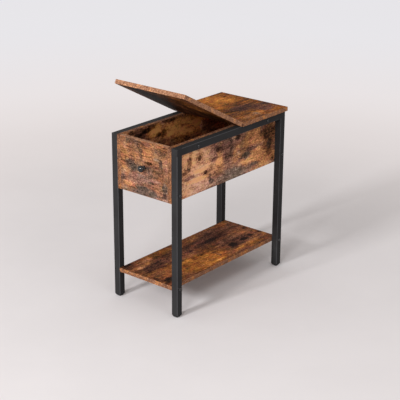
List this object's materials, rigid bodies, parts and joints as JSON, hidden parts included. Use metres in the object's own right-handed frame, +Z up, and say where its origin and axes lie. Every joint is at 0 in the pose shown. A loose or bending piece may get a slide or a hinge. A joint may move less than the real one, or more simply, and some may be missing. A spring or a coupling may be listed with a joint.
{
  "type": "lift top end table",
  "caption": "Narrow end table: a rustic wood storage box with a hinged front lid and fixed rear top, on two black square-tube side frames, with a round knob and an open lower shelf.",
  "frame": {"origin": "on the floor, under the middle of the whole table's box, from the face of the knob to the back edge of the top", "axes": "+Z up; +X to the right of someone who faces the knob; the knob and the lid's free edge are at the -Y end. The stored pose has the lid 28 degrees open."},
  "size_m": [0.3, 0.619, 0.7704],
  "materials": {
    "rustic_board": "rustic brown wood decor, satin",
    "black_frame": "black powder coat, fine satin",
    "black_plastic": "moulded matt black",
    "knob_black": "gloss black",
    "hinge_steel": "black lacquered steel",
    "bolt_black": "black oxide",
    "zinc_steel": "zinc plated",
    "dowel_wood": "bare beech"
  },
  "bodies": {
    "base": {"leg_front_left": "black_frame", "leg_front_right": "black_frame", "leg_back_left": "black_frame", "leg_back_right": "black_frame", "top_rail_left": "black_frame", "top_rail_right": "black_frame", "foot_front_left": "black_plastic", "foot_front_right": "black_plastic", "foot_back_left": "black_plastic", "foot_back_right": "black_plastic", "side_panel_left": "rustic_board", "side_panel_right": "rustic_board", "front_panel": "rustic_board", "back_panel": "rustic_board", "compartment_floor": "rustic_board", "lower_shelf": "rustic_board", "fixed_top": "rustic_board", "knob": "knob_black", "knob_screw": "zinc_steel", "hinge_left_fixed_leaf": "hinge_steel", "hinge_left_pin": "hinge_steel", "hinge_right_fixed_leaf": "hinge_steel", "hinge_right_pin": "hinge_steel", "hinge_screws_fixed": "hinge_steel", "shelf_bolts": "bolt_black", "leg_panel_bolts": "bolt_black", "rail_panel_bolts": "bolt_black", "shelf_inserts": "zinc_steel", "panel_inserts": "zinc_steel", "cam_locks": "zinc_steel", "cam_bolts": "zinc_steel", "top_screws": "zinc_steel", "dowels": "dowel_wood", "rail_plugs": "black_plastic"},
    "lid": {"hinge_left_lid_leaf": "hinge_steel", "hinge_right_lid_leaf": "hinge_steel", "hinge_screws_lid": "hinge_steel", "lid_panel": "rustic_board"}
  },
  "joints": [
    {"name": "lid_hinge", "type": "hinge", "parent": "base", "child": "lid", "pos_m": [0, 0.051, 0.6121], "axis": [-1, 0, 0], "range_deg": [-28, 72]}
  ]
}
